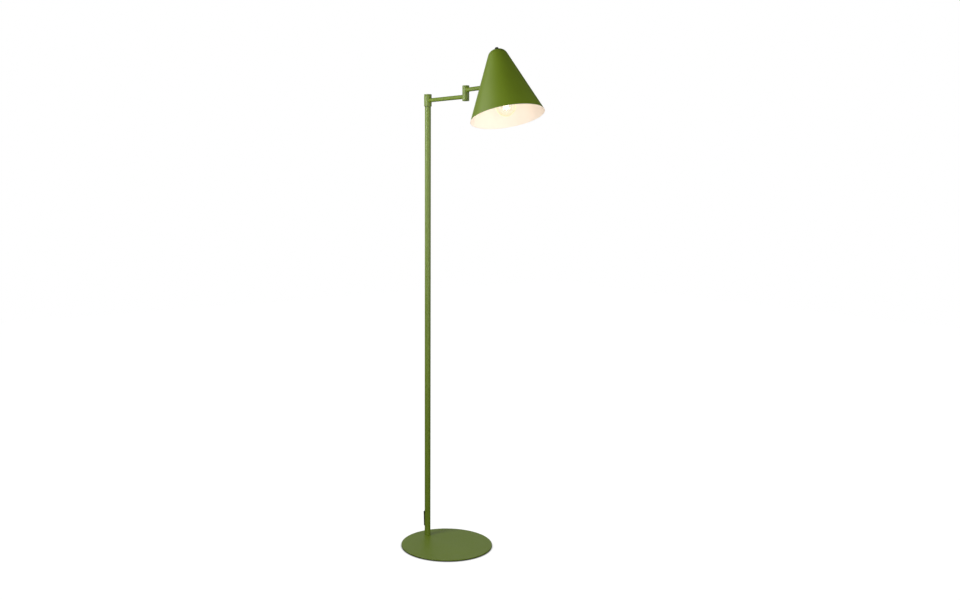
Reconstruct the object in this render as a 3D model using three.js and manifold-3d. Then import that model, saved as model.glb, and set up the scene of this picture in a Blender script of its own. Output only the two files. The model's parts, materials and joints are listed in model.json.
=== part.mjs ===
// An adjustable arm floor lamp: a round base plate, a pole that stands behind its centre,
// two arms that swing on upright pivots, and a conical shade on a tilt joint.
// Millimetres, +Z up. The origin is the centre of the base's underside and +X is the way
// the arms reach. Each turning assembly is a group whose origin lies on its own joint.

import * as THREE from 'three';
import { mergeVertices } from 'three/addons/utils/BufferGeometryUtils.js';
import Module from 'manifold-3d';

const wasm = await Module();
wasm.setup();

const degrees = Math.PI / 180;

// ---------------------------------------------------------------- driving dimensions

const baseRadius = 140;
const plateThickness = 4;
const padThickness = 1;
const poleOffset = 100;          // the pole axis stands this far behind the base's centre
const poleRadius = 9.2;
const poleWall = 1;
const poleTop = 1343.2;

const collarRadius = 11.4;
const collarBottom = 1344;
const collarTop = 1380;
const capHeight = 5.2;           // the visible edge of the collar's cap

const armRadius = 6;
const armWall = 1;
const arm1Height = 1361.5;       // height of the first arm's axis
const arm1Length = 184;          // pole axis to elbow axis
const arm2Height = 1380.5;
const arm2Length = 104;          // elbow axis to tilt axis
const elbowTurn = -5.5 * degrees;

const elbowRadius = 10;
const elbowBottom = 1349;
const elbowMiddle = 1371;
const elbowTop = 1393;
const elbowCapHeight = 3.9;

const mouthRadius = 102.3;
const coneAngle = 23.08 * degrees;
const shadeHeight = 192;         // mouth plane to crown
const domeRadius = 24;
const shadeWall = 1;
const shadeTilt = 16.25 * degrees;
const tiltToShadeAxis = 76;      // tilt axis to the cone's axis, square to the latter
const tiltAboveMouth = 113;      // tilt axis to the mouth plane, along the cone's axis

const knuckleRadius = 9;
const knuckleHalfWidth = 8;
const leadRadius = 1.6;
const bulbRadius = 27.5;
const bulbCentre = 30;           // above the mouth plane

const fitGap = 0.2;              // between a turned piece and what it sits in
const faceGap = 0.3;             // between two faces that meet

// ---------------------------------------------------------------- materials

function finish(color, roughness, metalness) {
  return new THREE.MeshStandardMaterial({ color, roughness, metalness });
}

const greenPaint = finish(0x6c8439, 0.5, 0.1);
const blackPlastic = finish(0x17191a, 0.45, 0);
const blackRubber = finish(0x1c1c1c, 0.9, 0);
const zincSteel = finish(0xb4b6b2, 0.35, 1);
const brass = finish(0xb8964f, 0.35, 1);
const nylon = finish(0x25272a, 0.6, 0);
const ceramic = finish(0xe9e4d8, 0.6, 0);
const capMetal = finish(0xc4c4c0, 0.3, 1);
const bulbGlass = finish(0xfff4dc, 0.08, 0);
const filamentGlow = finish(0xffd48a, 0.6, 0);
const leadSheath = finish(0xd9d6cc, 0.5, 0);

// ---------------------------------------------------------------- geometry helpers

// Leaves only positions, with shared corners merged and zero-width triangles dropped.
function welded(geometry) {
  const bare = geometry.clone();
  bare.deleteAttribute('normal');
  bare.deleteAttribute('uv');
  bare.clearGroups();
  const merged = mergeVertices(bare, 1e-4);
  const corners = merged.index.array;
  const kept = [];
  for (let i = 0; i < corners.length; i += 3) {
    const [a, b, c] = corners.slice(i, i + 3);
    if (a !== b && b !== c && c !== a) kept.push(a, b, c);
  }
  merged.setIndex(kept);
  return merged;
}

function toSolid(geometry) {
  const shell = welded(geometry);
  return new wasm.Manifold(new wasm.Mesh({
    numProp: 3,
    vertProperties: Float32Array.from(shell.attributes.position.array),
    triVerts: Uint32Array.from(shell.index.array),
  }));
}

function toGeometry(solid) {
  const mesh = solid.getMesh();
  const geometry = new THREE.BufferGeometry();
  geometry.setAttribute('position', new THREE.BufferAttribute(mesh.vertProperties, 3));
  geometry.setIndex(new THREE.BufferAttribute(mesh.triVerts, 1));
  return geometry;
}

function joined(first, ...others) {
  return toGeometry(others.reduce((sum, part) => sum.add(toSolid(part)), toSolid(first)));
}

function cut(body, ...tools) {
  return toGeometry(tools.reduce((left, tool) => left.subtract(toSolid(tool)), toSolid(body)));
}

// Turns a profile of [radius, height] points about the Z axis. The points run up the
// outside and, where the piece is hollow, down the inside and back to the start.
function turned(profile, segments = 20) {
  const points = profile.map(([radius, height]) => new THREE.Vector2(radius, height));
  return welded(new THREE.LatheGeometry(points, segments).rotateX(Math.PI / 2));
}

function ring(inner, outer, bottom, top, segments = 20) {
  return turned([
    [outer, bottom],
    [outer, top],
    [inner, top],
    [inner, bottom],
    [outer, bottom],
  ], segments);
}

function rod(radius, bottom, top, segments = 20) {
  const length = top - bottom;
  return new THREE.CylinderGeometry(radius, radius, length, segments)
    .rotateX(Math.PI / 2)
    .translate(0, 0, bottom + length / 2);
}

function alongX(geometry) {
  return geometry.rotateY(Math.PI / 2);
}

function alongY(geometry) {
  return geometry.rotateX(-Math.PI / 2);
}

// Points of an arc in a profile, from one angle to another, both ends included.
function arc(centreRadius, centreHeight, radius, from, to, steps) {
  return Array.from({ length: steps + 1 }, (_, i) => {
    const angle = from + (to - from) * i / steps;
    return [centreRadius + radius * Math.cos(angle), centreHeight + radius * Math.sin(angle)];
  });
}

// A flat outline drawn out along Z from Z = 0.
function slab(outline, depth, curveSegments) {
  return new THREE.ExtrudeGeometry(outline, { depth, bevelEnabled: false, curveSegments });
}

function hexNut(acrossFlats, bore, bottom, top) {
  const corner = acrossFlats / 2 / Math.cos(Math.PI / 6);
  return cut(rod(corner, bottom, top, 6), rod(bore, bottom - 1, top + 1, 24));
}

// A lead on a smooth curve through the route's points. Every span between two points gets
// the same number of steps, so the points stand close in a bend and far apart on a straight.
function lead(route) {
  const stepsPerSpan = 3;
  const points = route.map((point) => new THREE.Vector3(...point));
  const path = new THREE.CatmullRomCurve3(points, false, 'centripetal');
  path.getUtoTmapping = (fraction) => fraction;
  const section = new THREE.Shape().absarc(0, 0, leadRadius, 0, 2 * Math.PI);
  return welded(new THREE.ExtrudeGeometry(section, {
    steps: stepsPerSpan * (route.length - 1),
    curveSegments: 4,
    extrudePath: path,
  }));
}

function piece(name, geometry, material) {
  const mesh = new THREE.Mesh(geometry, material);
  mesh.name = name;
  return mesh;
}

function group(...children) {
  const made = new THREE.Group();
  made.add(...children);
  return made;
}

// ---------------------------------------------------------------- base and pole

const plateTop = padThickness + plateThickness;
const boltRadius = 4;
const boltHeadRadius = 7.4;
const boltHeadTop = plateTop - 0.6;
const boltEnd = 34;
const footInsertTop = 45;
const poleInner = poleRadius - poleWall;
const glandHeight = 76;          // where the gland's spigot enters the pole
const glandSpigot = 3.9;
const glandBore = 3.3;

function basePlate() {
  const edge = 1.2;
  const chamfer = 0.4;
  const rim = baseRadius - edge;
  const plate = turned([
    [0, padThickness],
    [baseRadius - chamfer, padThickness],
    [baseRadius, padThickness + chamfer],
    ...arc(rim, plateTop - edge, edge, 0, Math.PI / 2, 3),
    [0, plateTop],
  ], 64);
  const countersink = turned([
    [0, padThickness - 1],
    [boltHeadRadius + faceGap, padThickness - 1],
    [boltHeadRadius + faceGap, padThickness],
    [boltRadius + faceGap, boltHeadTop],
    [boltRadius + faceGap, plateTop + 1],
    [0, plateTop + 1],
  ]);
  return cut(plate, countersink.translate(-poleOffset, 0, 0));
}

function basePad() {
  const setIn = 3;
  const holeRadius = boltHeadRadius + 1.6;
  const underPlate = 0.1;
  const outline = new THREE.Shape().absarc(0, 0, baseRadius - setIn, 0, 2 * Math.PI);
  outline.holes.push(new THREE.Path().absarc(-poleOffset, 0, holeRadius, 0, 2 * Math.PI, true));
  return slab(outline, padThickness - underPlate, 24);
}

function baseBolt() {
  const headBottom = padThickness + fitGap;
  const socketRadius = 2.8;
  const socketDepth = 2.4;
  const body = turned([
    [0, headBottom],
    [boltHeadRadius, headBottom],
    [boltRadius, boltHeadTop - fitGap],
    [boltRadius, boltEnd],
    [0, boltEnd],
  ]);
  const socket = rod(socketRadius, headBottom - 1, headBottom + socketDepth, 6);
  return cut(body, socket);
}

function poleTube() {
  const tube = ring(poleInner, poleRadius, plateTop + fitGap, poleTop);
  const glandHole = alongX(rod(glandSpigot + fitGap, -2 * poleRadius, 0, 24));
  return cut(tube, glandHole.translate(0, 0, glandHeight));
}

// A tapered boot that lies along the back of the pole, with a spigot into the pole's wall.
// It is open at its foot, where the lead comes out, and at the spigot's end.
function cordGland() {
  const topRadius = 4.4;
  const footRadius = 3.8;
  const top = 80;
  const foot = 32.5;
  const clear = poleRadius + 0.15;
  const elbowBore = 2.6;
  const reachPastWall = 1.8;
  const lean = Math.atan((topRadius - footRadius) / (top - foot));
  const boot = turned([
    [0, foot],
    [footRadius, foot],
    [topRadius, top - 1.5],
    [topRadius - 1.2, top],
    [0, top],
  ], 24);
  const leadWay = rod(glandBore, foot - 2, glandHeight, 16);
  const spigotStart = -poleRadius - topRadius;
  const spigotEnd = -poleInner + reachPastWall;
  const spigot = alongX(rod(glandSpigot, spigotStart, spigotEnd, 24));
  const spigotWay = alongX(rod(elbowBore, spigotStart, spigotEnd + 1, 16));
  for (const level of [spigot, spigotWay]) level.translate(0, 0, glandHeight);
  for (const upright of [boot, leadWay]) {
    upright.translate(0, 0, -foot).rotateY(-lean).translate(-clear - footRadius, 0, foot);
  }
  return cut(joined(boot, spigot), leadWay, spigotWay);
}

const spigotNeck = 6.5;
const neckTop = 1354.5;
const collarCavity = 9.2;

// The pole's top fitting: a plug in the tube and a hollow neck that the first arm turns on.
function poleSpigot() {
  const bore = 3.2;
  const plug = poleInner - fitGap;
  const plugBottom = poleTop - 40;
  const plugTop = poleTop - 0.1;
  return turned([
    [plug, plugBottom],
    [plug, plugTop],
    [spigotNeck, plugTop],
    [spigotNeck, neckTop],
    [bore, neckTop],
    [bore, plugBottom],
    [plug, plugBottom],
  ]);
}

function poleLead() {
  const entry = -poleInner + 3;
  return lead([
    [entry, 0, glandHeight],
    [entry + 3, 0, glandHeight + 2],
    [0, 0, glandHeight + 8],
    [0, 0, glandHeight + 20],
    [0, 0, neckTop + 2],
  ]);
}

// The threaded insert in the pole's foot that the bolt under the plate pulls on.
function poleFootInsert() {
  return ring(boltRadius + fitGap, poleInner - fitGap, plateTop + fitGap, footInsertTop);
}

// The washer that carries the first arm on the pole's top.
function collarLowerWasher() {
  const touch = 0.1;
  return ring(spigotNeck + fitGap, poleRadius - 0.4, poleTop + touch, collarBottom - touch);
}

// The washer and the nut that hold the arm's collar down on the pole's neck.
const lockNutBottom = collarBottom + 5.2;

function collarUpperWasher() {
  return ring(spigotNeck + fitGap, collarCavity - 0.3, lockNutBottom - 1, lockNutBottom - fitGap);
}

function collarLockNut() {
  const height = 4.4;
  return ring(spigotNeck + 0.15, collarCavity - 0.5, lockNutBottom, lockNutBottom + height, 24);
}

function baseAndPole() {
  const pole = group(
    piece('base_bolt', baseBolt(), zincSteel),
    piece('pole_foot_insert', poleFootInsert(), zincSteel),
    piece('pole_tube', poleTube(), greenPaint),
    piece('cord_gland', cordGland(), blackPlastic),
    piece('pole_lead', poleLead(), leadSheath),
    piece('pole_spigot', poleSpigot(), zincSteel),
    piece('collar_lower_washer', collarLowerWasher(), nylon),
    piece('collar_upper_washer', collarUpperWasher(), nylon),
    piece('collar_lock_nut', collarLockNut(), zincSteel),
  );
  pole.position.x = -poleOffset;
  return group(
    piece('base_pad', basePad(), blackRubber),
    piece('base_plate', basePlate(), greenPaint),
    pole,
  );
}

// ---------------------------------------------------------------- first arm

const barrelCavity = 7.4;
const nippleRadius = 5;
const nippleBore = 3.4;
const elbowNutSeat = 3.7;        // above and below the elbow's middle
const elbowNutHeight = 2.4;
const collarTubeStart = 8.6;     // an arm tube's end, from the axis of the fitting it enters
const elbowTubeStart = 7.7;

// A straight tube along X at a height, its ends let into the fittings it joins.
function armTube(start, end, height) {
  return alongX(ring(armRadius - armWall, armRadius, start, end)).translate(0, 0, height);
}

function armHole(height) {
  return alongX(rod(armRadius + fitGap, 0, 2 * collarRadius)).translate(0, 0, height);
}

function collar() {
  const floorTop = collarBottom + 4;
  const rim = collarTop - capHeight - faceGap;
  const bore = spigotNeck + fitGap;
  const chamfer = 0.6;
  const body = turned([
    [collarRadius - chamfer, collarBottom],
    [collarRadius, collarBottom + chamfer],
    [collarRadius, rim],
    [collarCavity, rim],
    [collarCavity, floorTop],
    [bore, floorTop],
    [bore, collarBottom],
    [collarRadius - chamfer, collarBottom],
  ], 28);
  return cut(body, armHole(arm1Height));
}

// A cap with a rounded edge and a plug. It is made face up with its seat at Z = 0.
function endCap(radius, height, plugRadius, plugDepth) {
  const edge = 0.9;
  return turned([
    [0, -plugDepth],
    [plugRadius, -plugDepth],
    [plugRadius, 0],
    [radius, 0],
    ...arc(radius - edge, height - edge, edge, 0, Math.PI / 2, 2),
    [0, height],
  ], 28);
}

// One half of the elbow, open at the end away from the middle. It is made as the upper
// half with the middle face at Z = 0; the lower half is the same piece upside down.
function elbowBarrel(armAxis) {
  const floor = 3;
  const height = elbowTop - elbowMiddle - elbowCapHeight - faceGap;
  const start = 0.4;
  const bore = nippleRadius + fitGap;
  const chamfer = 0.3;
  const body = turned([
    [elbowRadius - chamfer, start],
    [elbowRadius, start + chamfer],
    [elbowRadius, height],
    [barrelCavity, height],
    [barrelCavity, start + floor],
    [bore, start + floor],
    [bore, start],
    [elbowRadius - chamfer, start],
  ], 28);
  return cut(body, armHole(armAxis));
}

function collarCap() {
  const plugDepth = 4;
  return endCap(collarRadius, capHeight, collarCavity - fitGap, plugDepth)
    .translate(0, 0, collarTop - capHeight);
}

// A cap for either end of the elbow, face up, with its seat at Z = 0.
function elbowCap() {
  const plugDepth = 2;
  return endCap(elbowRadius, elbowCapHeight, barrelCavity - fitGap, plugDepth);
}

// The hollow stud that holds the elbow's halves together, and the washer between them.
function elbowNipple() {
  const reach = elbowNutSeat + elbowNutHeight + 0.3;
  return ring(nippleBore, nippleRadius, -reach, reach);
}

function elbowNut(bottom) {
  return ring(nippleRadius + 0.15, barrelCavity - 0.5, bottom, bottom + elbowNutHeight, 24);
}

function elbowWasher() {
  const halfThickness = 0.3;
  return ring(nippleRadius + fitGap, elbowRadius - 0.6, -halfThickness, halfThickness);
}

// Along the tube's axis, then up through the elbow's hollow stud.
function arm1Lead() {
  const bend = arm1Length - 8;
  const upTo = elbowMiddle - 0.5;
  return lead([
    [0, 0, arm1Height],
    [20, 0, arm1Height],
    [bend, 0, arm1Height],
    [bend + 5, 0, arm1Height + 0.4],
    [bend + 7.6, 0, arm1Height + 3],
    [arm1Length, 0, upTo],
  ]);
}

// The elbow's parts that stay with the first arm, about the middle of the elbow.
function lowerElbow() {
  const barrel = elbowBarrel(elbowMiddle - arm1Height).rotateY(Math.PI);
  const cap = elbowCap().rotateX(Math.PI).translate(0, 0, elbowBottom - elbowMiddle + elbowCapHeight);
  const elbow = group(
    piece('elbow_lower_barrel', barrel, greenPaint),
    piece('elbow_bottom_cap', cap, greenPaint),
    piece('elbow_nipple', elbowNipple(), zincSteel),
    piece('elbow_lower_nut', elbowNut(-elbowNutSeat - elbowNutHeight), zincSteel),
    piece('elbow_upper_nut', elbowNut(elbowNutSeat), zincSteel),
    piece('elbow_washer', elbowWasher(), nylon),
  );
  elbow.position.set(arm1Length, 0, elbowMiddle);
  return elbow;
}

function firstArm() {
  return group(
    piece('arm1_collar', collar(), greenPaint),
    piece('collar_cap', collarCap(), greenPaint),
    piece('arm1_tube', armTube(collarTubeStart, arm1Length - elbowTubeStart, arm1Height), greenPaint),
    piece('arm1_lead', arm1Lead(), leadSheath),
    lowerElbow(),
  );
}

// ---------------------------------------------------------------- second arm

// The barrel at the arm's end, its axis along Y. The arm enters from -X, the screws enter
// both ends, and the lead leaves through a slot that faces the shade at every tilt.
function tiltBarrel() {
  const cavityRadius = 5.5;
  const cavityHalf = 4.5;
  const screwHole = 2.5;
  const slotHalf = 3;
  const slotFrom = -66 * degrees;
  const slotTo = 78 * degrees;
  const body = alongY(rod(knuckleRadius, -knuckleHalfWidth, knuckleHalfWidth, 28));
  const cavity = alongY(rod(cavityRadius, -cavityHalf, cavityHalf, 20));
  const screwWay = alongY(rod(screwHole, -2 * knuckleHalfWidth, 2 * knuckleHalfWidth, 16));
  const armWay = alongX(rod(armRadius + fitGap, -2 * knuckleRadius, -cavityRadius));
  const armBore = alongX(rod(armRadius - armWall, -2 * knuckleRadius, 0));
  const reach = 2 * knuckleRadius;
  const sector = new THREE.Shape()
    .moveTo(0, 0)
    .lineTo(reach * Math.cos(slotFrom), reach * Math.sin(slotFrom))
    .absarc(0, 0, reach, slotFrom, slotTo);
  const slot = slab(sector, 2 * slotHalf, 6).translate(0, 0, -slotHalf).rotateX(Math.PI / 2);
  return cut(body, cavity, screwWay, armWay, armBore, slot);
}

// Up out of the elbow's hollow stud, then along the tube's axis.
function arm2Lead(height) {
  return lead([
    [0, 0, 0.5],
    [0.4, 0, height - 3],
    [3, 0, height - 0.4],
    [8, 0, height],
    [20, 0, height],
    [arm2Length - 3, 0, height],
  ]);
}

function secondArm() {
  const height = arm2Height - elbowMiddle;
  const capSeat = elbowTop - elbowMiddle - elbowCapHeight;
  const tubeEnd = arm2Length - knuckleRadius + 1.4;
  const arm = group(
    piece('elbow_upper_barrel', elbowBarrel(height), greenPaint),
    piece('elbow_top_cap', elbowCap().translate(0, 0, capSeat), greenPaint),
    piece('arm2_tube', armTube(elbowTubeStart, tubeEnd, height), greenPaint),
    piece('arm2_lead', arm2Lead(height), leadSheath),
    piece('tilt_barrel', tiltBarrel().translate(arm2Length, 0, height), greenPaint),
  );
  arm.position.set(arm1Length, 0, elbowMiddle);
  arm.rotation.z = elbowTurn;
  return arm;
}

// ---------------------------------------------------------------- tilt joint, shade side

// This frame has its origin on the tilt axis and X square to the shade's wall.
const wallDistance = (tiltToShadeAxis - mouthRadius + tiltAboveMouth * Math.tan(coneAngle))
  * Math.cos(coneAngle);
const studRadius = 5;
const cheekThickness = 3;
const cheekInner = knuckleHalfWidth + 0.4;
const cheekOuter = cheekInner + cheekThickness;
const yokeFront = knuckleRadius + 0.9;
const yokeBack = yokeFront + 4.6;

function tiltYoke() {
  const studEnd = wallDistance + 11;
  const outline = new THREE.Shape()
    .moveTo(yokeBack, -knuckleRadius)
    .lineTo(yokeBack, knuckleRadius)
    .lineTo(0, knuckleRadius)
    .absarc(0, 0, knuckleRadius, Math.PI / 2, 3 * Math.PI / 2);
  const cheek = slab(outline, cheekThickness, 10).rotateX(Math.PI / 2);
  const left = cheek.clone().translate(0, cheekOuter, 0);
  const right = cheek.translate(0, -cheekInner, 0);
  const back = new THREE.BoxGeometry(yokeBack - yokeFront, 2 * cheekOuter, 2 * knuckleRadius)
    .translate((yokeFront + yokeBack) / 2, 0, 0);
  const stud = alongX(rod(studRadius, yokeFront + 1, studEnd, 20));
  const leadWay = alongX(rod(nippleBore, yokeFront - 1, studEnd + 1, 16));
  const screwWay = alongY(rod(2.7, -2 * cheekOuter, 2 * cheekOuter, 16));
  return cut(joined(left, right, back, stud), leadWay, screwWay);
}

// A button-headed screw along +Y, its head outside a cheek and its shank in the barrel.
function tiltScrew() {
  const headRadius = 4.6;
  const headSide = 1.1;
  const headCrown = 1.6;
  const seat = cheekOuter + 0.9;
  const headTop = seat + 2.6;
  const shank = 2.2;
  const shankEnd = 4.8;
  const socketRadius = 1.5;
  const socketDepth = 1.4;
  const body = turned([
    [0, shankEnd],
    [shank, shankEnd],
    [shank, seat],
    [headRadius, seat],
    [headRadius, seat + headSide],
    [headRadius - headCrown, headTop],
    [0, headTop],
  ], 24);
  const socket = rod(socketRadius, headTop - socketDepth, headTop + 1, 6);
  return alongY(cut(body, socket));
}

function tiltWasher() {
  const bore = 2.5;
  const radius = 5.2;
  const seat = cheekOuter + 0.1;
  return alongY(ring(bore, radius, seat, seat + 0.6, 24));
}

// The spacer from the yoke's back to the outside of the shade's wall.
function yokeSpacer() {
  const radius = 8.5;
  return alongX(ring(studRadius + fitGap, radius, yokeBack + faceGap, wallDistance - faceGap));
}

// The washer and nut on the stud, on the inside of the shade's wall.
const insideWall = wallDistance + shadeWall + 0.8;

function yokeInnerWasher() {
  const radius = 8;
  return alongX(ring(studRadius + fitGap, radius, insideWall, insideWall + 1));
}

function yokeNut() {
  const acrossFlats = 13;
  const seat = insideWall + 1.2;
  return alongX(hexNut(acrossFlats, studRadius + fitGap, seat, seat + 3.8));
}

function tiltJoint() {
  const joint = group(
    piece('tilt_yoke', tiltYoke(), greenPaint),
    piece('tilt_screw_left', tiltScrew(), zincSteel),
    piece('tilt_screw_right', tiltScrew().rotateZ(Math.PI), zincSteel),
    piece('tilt_washer_left', tiltWasher(), nylon),
    piece('tilt_washer_right', tiltWasher().rotateZ(Math.PI), nylon),
    piece('yoke_spacer', yokeSpacer(), blackPlastic),
    piece('yoke_inner_washer', yokeInnerWasher(), zincSteel),
    piece('yoke_nut', yokeNut(), zincSteel),
  );
  joint.rotation.y = coneAngle;
  return joint;
}

// ---------------------------------------------------------------- shade

// Everything here is made about the cone's axis, with the mouth plane at Z = 0.
const rodRadius = 3;
const crownHole = rodRadius + 0.3;

function coneRadius(height) {
  return mouthRadius - height * Math.tan(coneAngle);
}

// The shell's outline at a depth under its outer skin, from the mouth to the crown.
function shellOutline(depth) {
  const domeHeight = shadeHeight - domeRadius;
  const domeOffset = coneRadius(domeHeight) - domeRadius / Math.cos(coneAngle);
  return [
    [mouthRadius - depth / Math.cos(coneAngle), 0],
    ...arc(domeOffset, domeHeight, domeRadius - depth, coneAngle, Math.PI / 2, 4),
    [crownHole, shadeHeight - depth],
  ];
}

function shadeShell() {
  const holeRadius = studRadius + 0.5;
  const outer = shellOutline(0);
  const inner = shellOutline(shadeWall).reverse();
  const shell = turned([...outer, ...inner, outer[0]], 48);
  const studHole = alongX(rod(holeRadius, wallDistance - 4, wallDistance + 6, 16))
    .rotateY(coneAngle)
    .translate(-tiltToShadeAxis, 0, tiltAboveMouth);
  return cut(shell, studHole);
}

// The washer and the closed nut that show on the crown.
const capNutSeat = shadeHeight + 0.9;

function shadeCapWasher() {
  const radius = 6.6;
  const touch = 0.1;
  return ring(crownHole, radius, shadeHeight + touch, capNutSeat - touch, 24);
}

function shadeCapNut() {
  const radius = 5.2;
  const height = 5;
  const crown = 2;
  const wellTop = capNutSeat + height - 1.2;
  const well = rodRadius + 0.1;
  return turned([
    [radius, capNutSeat],
    ...arc(radius - crown, capNutSeat + height - crown, crown, 0, Math.PI / 2, 2),
    [0, capNutSeat + height],
    [0, wellTop],
    [well, wellTop],
    [well, capNutSeat],
    [radius, capNutSeat],
  ], 24);
}

// The rod that the lamp holder hangs on, with the washer and nut under the crown.
const innerWasherTop = shadeHeight - 1.3;

function holderRod() {
  return rod(rodRadius, holderTop - 8, capNutSeat + 3.5, 20);
}

function rodInnerWasher() {
  const radius = 5.4;
  return ring(crownHole, radius, innerWasherTop - 0.9, innerWasherTop, 24);
}

function rodInnerNut() {
  const acrossFlats = 8;
  const top = innerWasherTop - 1.1;
  return hexNut(acrossFlats, rodRadius + 0.1, top - 4, top);
}

// ---------------------------------------------------------------- lamp holder

const holderRadius = 19.5;
const holderFoot = 78;
const skirtTop = 104;
const holderTop = 130;
const holderWall = 2.2;
const holderLeadOffset = 9.5;    // where the lead enters the cap, from the holder's axis

function holderCap() {
  const seam = skirtTop + faceGap;
  const shoulder = 5;
  const shoulderTop = holderTop - 6;
  const boss = 8;
  const bossFoot = holderTop - 3;
  const roof = holderTop - 9;
  const roofChamfer = 3;
  const rodWay = rodRadius + 0.1;
  const inner = holderRadius - holderWall;
  const body = turned([
    [holderRadius, seam],
    ...arc(holderRadius - shoulder, shoulderTop - shoulder, shoulder, 0, Math.PI / 2, 3),
    [boss, bossFoot],
    [boss - 1, holderTop],
    [rodWay, holderTop],
    [rodWay, roof],
    [inner - roofChamfer, roof],
    [inner, roof - roofChamfer],
    [inner, seam],
    [holderRadius, seam],
  ]);
  const leadHole = rod(leadRadius + 0.7, roof - roofChamfer, holderTop + 4, 16);
  return cut(body, leadHole.translate(-holderLeadOffset, 0, 0));
}

function holderSkirt() {
  const lip = 1.2;
  const flare = 3;
  const footInner = holderRadius - 2.6;
  return turned([
    [footInner, holderFoot],
    [holderRadius - lip, holderFoot],
    [holderRadius, holderFoot + flare],
    [holderRadius, skirtTop],
    [holderRadius - holderWall, skirtTop],
    [footInner, holderFoot],
  ]);
}

const threadPitch = 3.6;
const threadDepth = 0.5;

// A thread that the bulb's cap turns in: a wavy skin of one pitch for each turn.
function threadProfile(radius, depth, bottom, top, pitch) {
  const turns = Math.round((top - bottom) / pitch);
  const points = [[radius, bottom]];
  for (let i = 0; i < turns; i += 1) {
    const at = bottom + i * pitch;
    points.push([radius + depth, at + 0.35 * pitch], [radius, at + pitch]);
  }
  return points;
}

function holderSleeve() {
  const bottom = holderFoot + 4;
  const top = holderFoot + 22;
  const outer = 15.4;
  const bore = 13.9;
  const thread = threadProfile(bore, threadDepth, bottom, top, threadPitch).reverse();
  return turned([[outer, bottom], [outer, top], ...thread, [outer, bottom]], 16);
}

// The ceramic block over the sleeve, with a well for each terminal in its top.
const insertBottom = 103;

function holderInsert() {
  const radius = 15.8;
  const top = 112;
  const wellRadius = 2;
  const wellDepth = 4;
  const wellOffset = 9;
  const block = rod(radius, insertBottom, top);
  const wells = [-1, 1].map((side) => rod(wellRadius, top - wellDepth, top + 1, 12)
    .translate(0, wellOffset * side, 0));
  return cut(block, ...wells);
}

function holderContact() {
  const radius = 3.5;
  return rod(radius, insertBottom - 1.7, insertBottom - faceGap);
}

// ---------------------------------------------------------------- bulb

const bulbNeckTop = 75;
const bulbNeckRadius = 12.4;

function bulbOutline(depth) {
  const radius = bulbRadius - depth;
  const leave = 38 * degrees;
  const ballEnd = new THREE.Vector2(radius * Math.cos(leave), bulbCentre + radius * Math.sin(leave));
  const neck = new THREE.CubicBezierCurve(
    ballEnd,
    ballEnd.clone().add(new THREE.Vector2(-Math.sin(leave), Math.cos(leave)).multiplyScalar(11)),
    new THREE.Vector2(bulbNeckRadius - depth, bulbNeckTop - 14),
    new THREE.Vector2(bulbNeckRadius - depth, bulbNeckTop),
  );
  const ball = arc(0, bulbCentre, radius, -Math.PI / 2, leave, 7);
  ball[0][0] = 0;
  return [...ball, ...neck.getPoints(4).slice(1).map((p) => [p.x, p.y])];
}

function bulbEnvelope() {
  const glass = 0.8;
  return turned([...bulbOutline(0), ...bulbOutline(glass).reverse()], 20);
}

const bulbCapTop = bulbNeckTop + 22;

function bulbCap() {
  const wall = 0.5;
  const skirt = bulbNeckTop - 5;
  const skirtRadius = 13.2;
  const threadRadius = 12.7;
  const threadStart = bulbNeckTop + 4;
  const threadEnd = threadStart + 4 * threadPitch;
  const thread = threadProfile(threadRadius, threadDepth, threadStart, threadEnd, threadPitch);
  const overNeck = bulbNeckRadius + 0.3;
  const inner = bulbNeckRadius - fitGap;
  const nose = 8;
  return turned([
    [skirtRadius, skirt],
    [threadRadius + 0.1, bulbNeckTop + 2],
    ...thread,
    [nose, bulbCapTop],
    [nose - wall, bulbCapTop - wall],
    [inner, threadEnd - 0.4],
    [inner, bulbNeckTop + 1],
    [overNeck, bulbNeckTop - wall],
    [overNeck, skirt],
    [skirtRadius, skirt],
  ], 20);
}

function bulbContact() {
  const radius = 4.5;
  return rod(radius, bulbCapTop + faceGap, bulbCapTop + 2.5);
}

// The glass foot inside the envelope: a thin post that flares to the neck.
function bulbStem() {
  const top = bulbNeckTop + 1;
  const post = top - 18;
  return turned([
    [0, post - 14],
    [1.6, post - 14],
    [2.2, post],
    [6, post + 10],
    [8.5, top],
    [0, top],
  ], 20);
}

// One filament carried in a zigzag round the stem's foot.
function bulbFilament() {
  const posts = 8;
  const start = 20 * degrees;
  const turn = 320 * degrees;
  const wire = 0.7;
  const route = Array.from({ length: posts + 1 }, (_, i) => {
    const angle = start + turn * i / posts;
    const [radius, height] = i % 2 ? [7.5, 22] : [5, 40];
    return new THREE.Vector3(radius * Math.cos(angle), radius * Math.sin(angle), height);
  });
  const path = new THREE.CatmullRomCurve3(route, false, 'centripetal');
  const section = new THREE.Shape().absarc(0, 0, wire, 0, 2 * Math.PI);
  return welded(new THREE.ExtrudeGeometry(section, { steps: 32, curveSegments: 3, extrudePath: path }));
}

// Out of the stud, over the holder's shoulder and down into its cap.
function shadeLead() {
  const throughStud = (distance) => [
    distance * Math.cos(coneAngle) - tiltToShadeAxis,
    0,
    tiltAboveMouth - distance * Math.sin(coneAngle),
  ];
  return lead([
    throughStud(2.6),
    throughStud(wallDistance),
    throughStud(wallDistance + 14),
    [-holderRadius - 7.5, 0, holderTop - 18],
    [-holderRadius - 2.5, 0, holderTop],
    [-holderLeadOffset - 5, 0, holderTop + 10],
    [-holderLeadOffset, 0, holderTop + 3],
    [-holderLeadOffset, 0, holderTop - 14],
  ]);
}

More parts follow.
